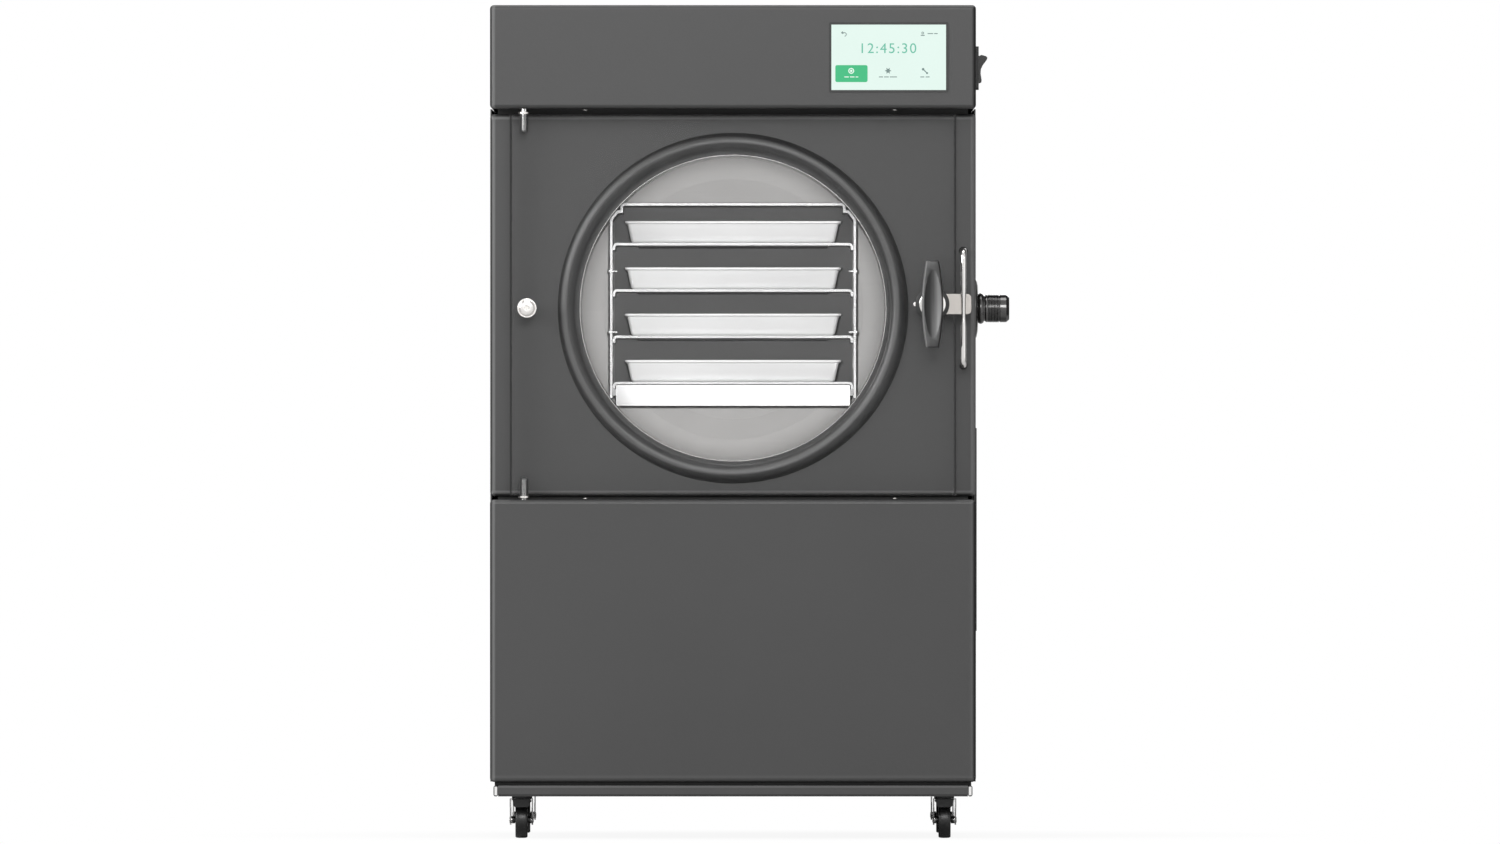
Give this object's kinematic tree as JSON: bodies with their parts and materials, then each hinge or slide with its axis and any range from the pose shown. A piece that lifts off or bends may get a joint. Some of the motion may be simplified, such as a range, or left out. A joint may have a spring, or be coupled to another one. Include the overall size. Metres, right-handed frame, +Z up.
{
  "type": "freeze dryer",
  "caption": "Freeze dryer: boxy cabinet on casters with a clear hinged door over a round vacuum chamber with a rack of trays, a lit control head, a latch and a side vacuum port.",
  "frame": {"origin": "on the floor, under the middle of the object's outline, which the vacuum port carries to the right and the latch knob to the front", "axes": "+Z up, +X to the operator's right, -Y to the front, where the door is"},
  "size_m": [0.5136, 0.6342, 0.8232],
  "materials": {
    "cabinet_paint": "satin dark grey powder coat",
    "black_paint": "matt black paint",
    "zinc_steel": "zinc-plated sheet",
    "stainless": "satin stainless steel",
    "bright_steel": "bright plated steel",
    "chamber_steel": "brushed stainless steel",
    "rack_metal": "satin",
    "tray_steel": "fine satin stainless steel",
    "clear_acrylic": "polished clear acrylic",
    "clear_nylon": "translucent nylon",
    "gasket_rubber": "smooth black silicone rubber",
    "heater_rubber": "heating mats in silicone rubber",
    "wheel_black": "blackened cast wheel with a thin rubber tread",
    "black_plastic": "black moulded plastic",
    "knob_plastic": "black moulded plastic, lightly textured",
    "gloss_black": "glossy black plastic",
    "stem_paint": "black finished steel",
    "screen": "lit display glass",
    "port_metal": "dark polished metal",
    "copper_tube": "bare copper tube",
    "foam": "closed-cell foam",
    "valve_brass": "plain brass",
    "lever_red": "red dipped coating"
  },
  "bodies": {
    "cabinet": {"base_tray": "cabinet_paint", "base_rails": "bright_steel", "floor_plate": "zinc_steel", "side_panel_left": "cabinet_paint", "side_panel_right": "cabinet_paint", "rear_cover": "cabinet_paint", "lower_front_panel": "cabinet_paint", "chamber_front_panel": "cabinet_paint", "head_cover": "cabinet_paint", "bay_decks": "black_paint", "side_vent_cover": "black_paint", "fasteners": "stainless", "pivot_pins": "stainless", "latch_bail": "bright_steel", "door_gasket": "gasket_rubber", "chamber_drum": "chamber_steel", "chamber_back": "chamber_steel", "insulation_jacket": "foam", "evaporator_coil": "copper_tube", "rack_side_left": "rack_metal", "rack_side_right": "rack_metal", "rack_roof": "rack_metal", "rack_baffle": "cabinet_paint", "shelf_1": "rack_metal", "shelf_2": "rack_metal", "shelf_3": "rack_metal", "shelf_4": "rack_metal", "shelf_heaters": "heater_rubber", "rack_base_box": "rack_metal", "tray_1": "tray_steel", "tray_2": "tray_steel", "tray_3": "tray_steel", "tray_4": "tray_steel", "display_bezel": "black_plastic", "display_screen": "screen", "switch_housing": "black_plastic", "vacuum_port": "port_metal", "compressor": "black_paint", "condenser": "zinc_steel", "fan_frame": "black_plastic", "power_inlet": "black_plastic", "drain_valve": "valve_brass", "caster_stems": "stem_paint"},
    "door": {"door_panel": "clear_acrylic", "pivot_bushes": "clear_nylon", "hinge_side_bolt": "stainless", "latch_sleeve": "black_plastic"},
    "latch": {"latch_knob": "knob_plastic", "latch_tongue": "stainless"},
    "switch": {"switch_rocker": "gloss_black"},
    "fan": {"fan_rotor": "black_plastic"},
    "drain_handle": {"drain_lever": "lever_red"},
    "caster_front_left": {"fork_front_left": "bright_steel"},
    "roller_front_left": {"wheel_front_left": "wheel_black"},
    "caster_front_right": {"fork_front_right": "bright_steel"},
    "roller_front_right": {"wheel_front_right": "wheel_black"},
    "caster_rear_left": {"fork_rear_left": "bright_steel"},
    "roller_rear_left": {"wheel_rear_left": "wheel_black"},
    "caster_rear_right": {"fork_rear_right": "bright_steel"},
    "roller_rear_right": {"wheel_rear_right": "wheel_black"}
  },
  "joints": [
    {"name": "door_swing", "type": "hinge", "parent": "cabinet", "child": "door", "pos_m": [-0.2233, -0.26835, 0.5278], "axis": [0, 0, -1], "range_deg": [0, 110]},
    {"name": "latch_turn", "type": "hinge", "parent": "door", "child": "latch", "pos_m": [0.1802, -0.28085, 0.5278], "axis": [0, -1, 0], "range_deg": [0, 90]},
    {"name": "switch_rock", "type": "hinge", "parent": "cabinet", "child": "switch", "pos_m": [0.2237, -0.22085, 0.7614], "axis": [0, -1, 0], "range_deg": [0, 28]},
    {"name": "fan_spin", "type": "hinge", "parent": "cabinet", "child": "fan", "pos_m": [-0.1068, 0.25915, 0.1858], "axis": [0, 1, 0], "continuous": true},
    {"name": "drain_turn", "type": "hinge", "parent": "cabinet", "child": "drain_handle", "pos_m": [0.1332, 0.29815, 0.3948], "axis": [0, 0, -1], "range_deg": [0, 90]},
    {"name": "swivel_front_left", "type": "hinge", "parent": "cabinet", "child": "caster_front_left", "pos_m": [-0.226, -0.23585, 0.036], "axis": [0, 0, 1], "continuous": true},
    {"name": "roll_front_left", "type": "hinge", "parent": "caster_front_left", "child": "roller_front_left", "pos_m": [-0.226, -0.22385, 0.018], "axis": [1, 0, 0], "continuous": true},
    {"name": "swivel_front_right", "type": "hinge", "parent": "cabinet", "child": "caster_front_right", "pos_m": [0.1924, -0.23585, 0.036], "axis": [0, 0, 1], "continuous": true},
    {"name": "roll_front_right", "type": "hinge", "parent": "caster_front_right", "child": "roller_front_right", "pos_m": [0.1924, -0.22385, 0.018], "axis": [1, 0, 0], "continuous": true},
    {"name": "swivel_rear_left", "type": "hinge", "parent": "cabinet", "child": "caster_rear_left", "pos_m": [-0.226, 0.23415, 0.036], "axis": [0, 0, 1], "continuous": true},
    {"name": "roll_rear_left", "type": "hinge", "parent": "caster_rear_left", "child": "roller_rear_left", "pos_m": [-0.226, 0.24615, 0.018], "axis": [1, 0, 0], "continuous": true},
    {"name": "swivel_rear_right", "type": "hinge", "parent": "cabinet", "child": "caster_rear_right", "pos_m": [0.1924, 0.23415, 0.036], "axis": [0, 0, 1], "continuous": true},
    {"name": "roll_rear_right", "type": "hinge", "parent": "caster_rear_right", "child": "roller_rear_right", "pos_m": [0.1924, 0.24615, 0.018], "axis": [1, 0, 0], "continuous": true}
  ]
}
